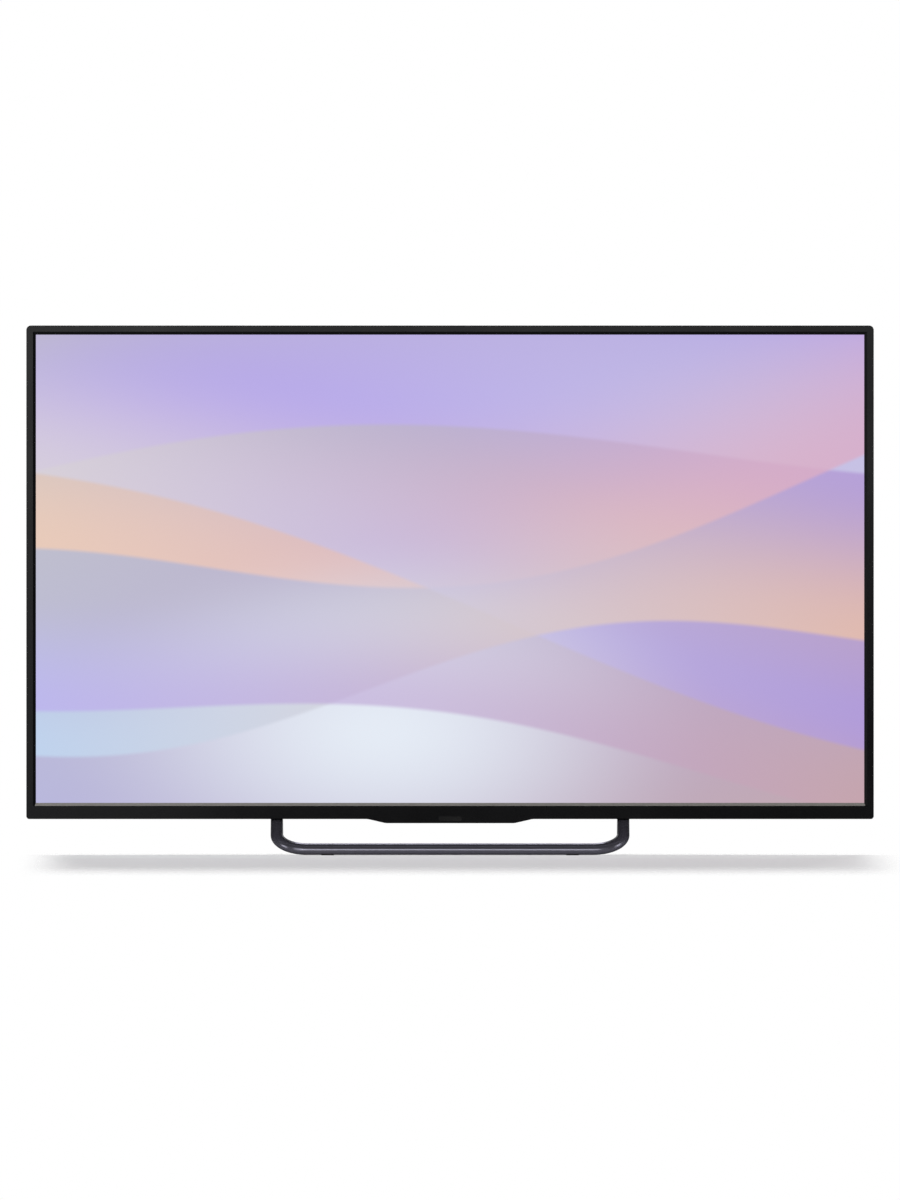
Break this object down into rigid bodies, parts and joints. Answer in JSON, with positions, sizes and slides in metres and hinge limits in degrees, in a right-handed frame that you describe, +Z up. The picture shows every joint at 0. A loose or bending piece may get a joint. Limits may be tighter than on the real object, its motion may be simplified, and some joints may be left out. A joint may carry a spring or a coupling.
{
  "type": "flat screen tv",
  "caption": "Slim flat screen television, black bezel, on a stand of two gunmetal oval-tube hoops, built down to its panel, boards, speakers and keys.",
  "frame": {"origin": "on the floor, at the centre of the overall box", "axes": "+X to the right of someone who faces the screen, +Y from the screen to the back, +Z up"},
  "size_m": [0.963, 0.1872, 0.6017],
  "materials": {
    "bezel_gloss": "satin-gloss moulded black",
    "trim_grey": "silver-grey satin paint",
    "smoked": "smoked, polished",
    "picture": "anti-glare polariser film over glass",
    "film_white": "diffusing white sheet",
    "lamp_lens": "clear moulded lens",
    "lamp_chip": "yellow phosphor",
    "lamp_bar": "white solder mask on aluminium",
    "frame_black": "moulded black",
    "zinc_steel": "zinc-coated sheet",
    "bright_steel": "nickel-plated",
    "board_green": "solder mask on glass-fibre board",
    "chip_black": "moulded epoxy",
    "aluminium": "extruded, plain",
    "socket_black": "moulded black",
    "jack_body": "moulded, with coloured noses",
    "coil_tape": "yellow winding tape on ferrite",
    "cap_sleeve": "shrunk sleeve",
    "amber_film": "amber polyimide film",
    "lead_sleeve": "soft vinyl",
    "speaker_black": "moulded black",
    "cone_paper": "coated paper cone",
    "ferrite": "sintered ferrite",
    "rubber": "moulded rubber",
    "cover_black": "fine-grained moulded black",
    "screw_black": "black oxide",
    "gunmetal": "gunmetal satin lacquer",
    "key_black": "moulded black",
    "light_red": "red diffused lens"
  },
  "bodies": {
    "set": {"av_jacks": "jack_body", "back_chassis": "zinc_steel", "board_screws": "bright_steel", "card_slot": "bright_steel", "cell_flexes": "amber_film", "diffuser_plate": "film_white", "diffuser_posts": "film_white", "foot_pads": "rubber", "front_bezel": "bezel_gloss", "hdmi_sockets": "bright_steel", "headphone_jack": "socket_black", "heat_sink": "aluminium", "ir_receiver": "chip_black", "ir_window": "smoked", "key_board": "board_green", "key_board_screws": "bright_steel", "key_switches": "socket_black", "lan_socket": "bright_steel", "lcd_cell": "picture", "led_bars": "lamp_bar", "led_chips": "lamp_chip", "led_lenses": "lamp_lens", "lower_trim_strip": "trim_grey", "main_board": "board_green", "mains_inlet": "socket_black", "optical_films": "film_white", "optical_socket": "socket_black", "panel_frame": "frame_black", "power_board": "board_green", "power_capacitors": "cap_sleeve", "power_heat_sinks": "aluminium", "power_transformers": "coil_tape", "processor": "chip_black", "rear_cover": "cover_black", "rear_cover_screws": "screw_black", "reflector_sheet": "film_white", "source_boards": "board_green", "speaker_boxes": "speaker_black", "speaker_drivers": "cone_paper", "speaker_magnets": "ferrite", "speaker_pads": "rubber", "stand_anchors": "zinc_steel", "stand_front_hoop": "gunmetal", "stand_rear_hoop": "gunmetal", "stand_saddles": "gunmetal", "stand_screws": "screw_black", "standby_light": "light_red", "terminal_plates": "zinc_steel", "timing_board": "board_green", "timing_flex": "amber_film", "tuner_box": "bright_steel", "usb_socket": "bright_steel", "vesa_posts": "zinc_steel", "wire_leads": "lead_sleeve"},
    "key_channel_down_body": {"key_channel_down": "key_black"},
    "key_channel_up_body": {"key_channel_up": "key_black"},
    "key_power_body": {"key_power": "key_black"},
    "key_source_body": {"key_source": "key_black"},
    "key_volume_down_body": {"key_volume_down": "key_black"},
    "key_volume_up_body": {"key_volume_up": "key_black"}
  },
  "joints": [
    {"name": "press_channel_down", "type": "slide", "parent": "set", "child": "key_channel_down_body", "axis": [0, 0, 1], "range_m": [0, 0.0006], "stiffness_N_per_m": 1600},
    {"name": "press_channel_up", "type": "slide", "parent": "set", "child": "key_channel_up_body", "axis": [0, 0, 1], "range_m": [0, 0.0006], "stiffness_N_per_m": 1600},
    {"name": "press_power", "type": "slide", "parent": "set", "child": "key_power_body", "axis": [0, 0, 1], "range_m": [0, 0.0006], "stiffness_N_per_m": 1600},
    {"name": "press_source", "type": "slide", "parent": "set", "child": "key_source_body", "axis": [0, 0, 1], "range_m": [0, 0.0006], "stiffness_N_per_m": 1600},
    {"name": "press_volume_down", "type": "slide", "parent": "set", "child": "key_volume_down_body", "axis": [0, 0, 1], "range_m": [0, 0.0006], "stiffness_N_per_m": 1600},
    {"name": "press_volume_up", "type": "slide", "parent": "set", "child": "key_volume_up_body", "axis": [0, 0, 1], "range_m": [0, 0.0006], "stiffness_N_per_m": 1600}
  ]
}
